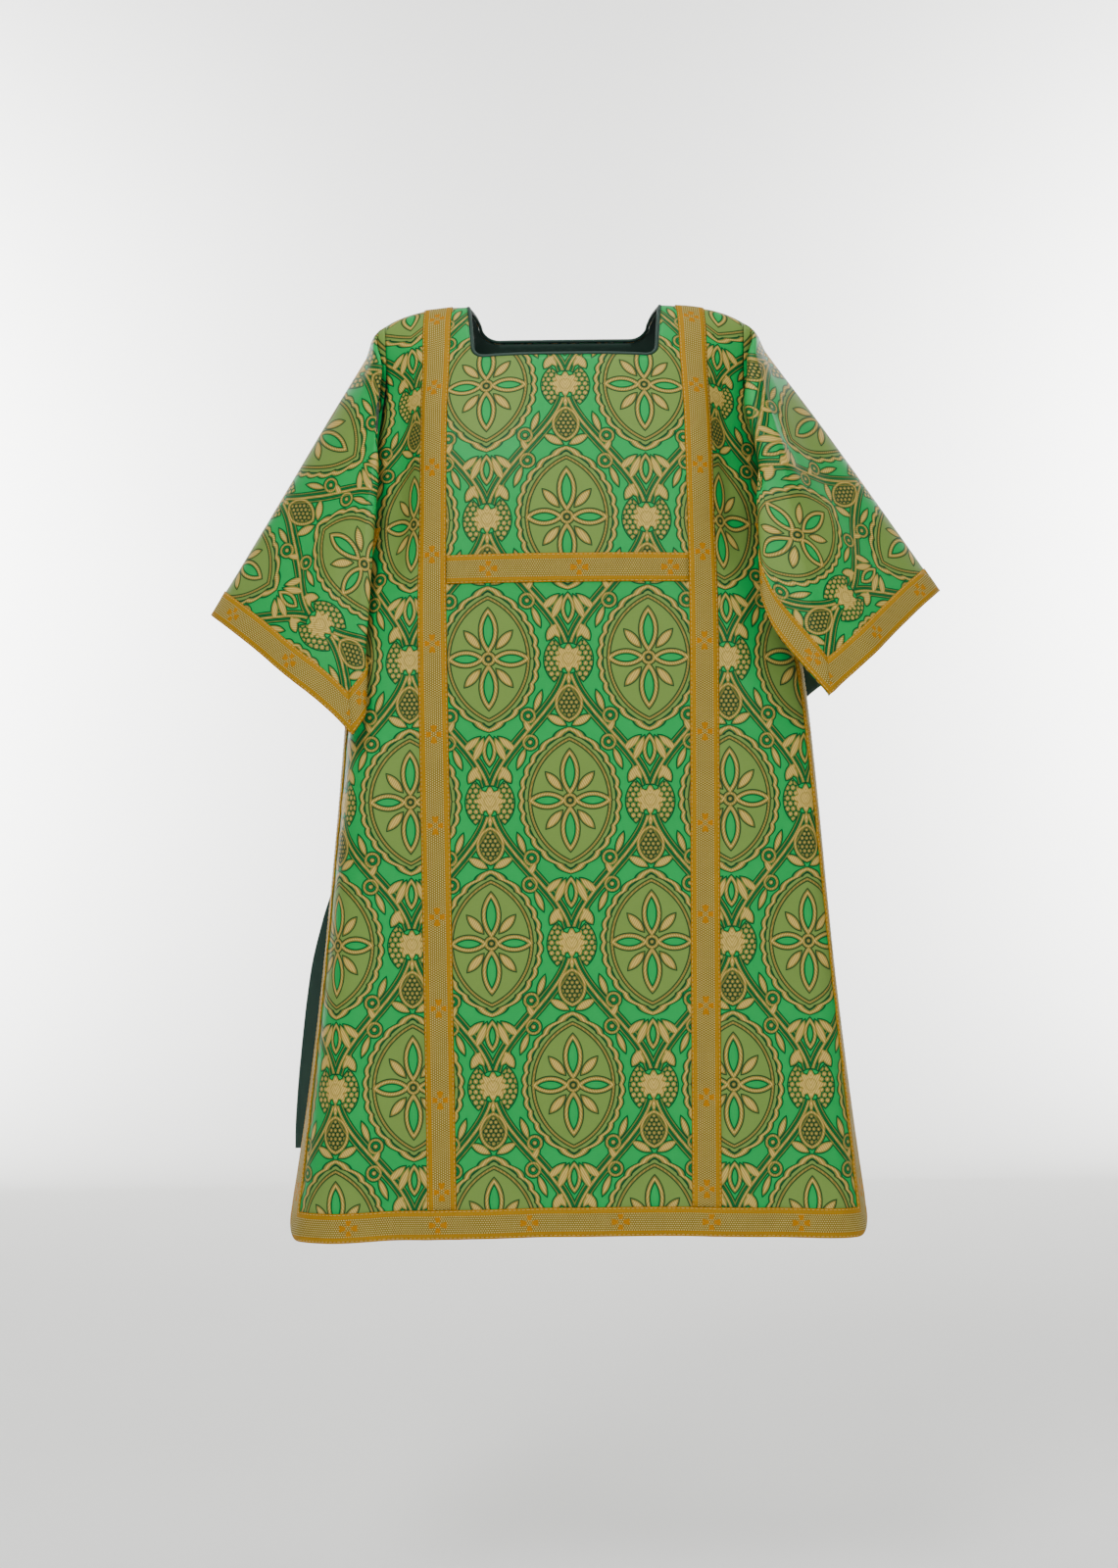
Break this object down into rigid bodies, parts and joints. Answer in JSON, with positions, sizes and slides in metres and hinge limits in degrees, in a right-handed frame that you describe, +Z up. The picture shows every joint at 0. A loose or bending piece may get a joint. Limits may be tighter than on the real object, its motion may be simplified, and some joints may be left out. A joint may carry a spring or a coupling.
{
  "type": "tunicle",
  "caption": "A worn Roman tunicle of green and gold brocade: front and back panel with open sides, two flap sleeves, gold galloon on the edges, two stripes with one crossbar, piped square neck.",
  "frame": {"origin": "the middle of the shoulder line, where the wearer's shoulders carry the garment", "axes": "+Z up, -Y towards the front panel, +X towards the wearer's left"},
  "size_m": [0.8381, 0.3675, 1.0588],
  "materials": {
    "brocade": "satin",
    "galloon": "woven metallic",
    "lining": "matte"
  },
  "bodies": {
    "root": {"front_panel": "brocade", "front_right_stripe": "galloon", "front_left_stripe": "galloon", "front_bar": "galloon", "front_border": "galloon", "back_panel": "brocade", "back_right_stripe": "galloon", "back_left_stripe": "galloon", "back_bar": "galloon", "back_border": "galloon", "right_sleeve": "brocade", "right_sleeve_border": "galloon", "left_sleeve": "brocade", "left_sleeve_border": "galloon", "neck_piping": "lining", "right_tie": "lining", "left_tie": "lining"}
  },
  "joints": []
}
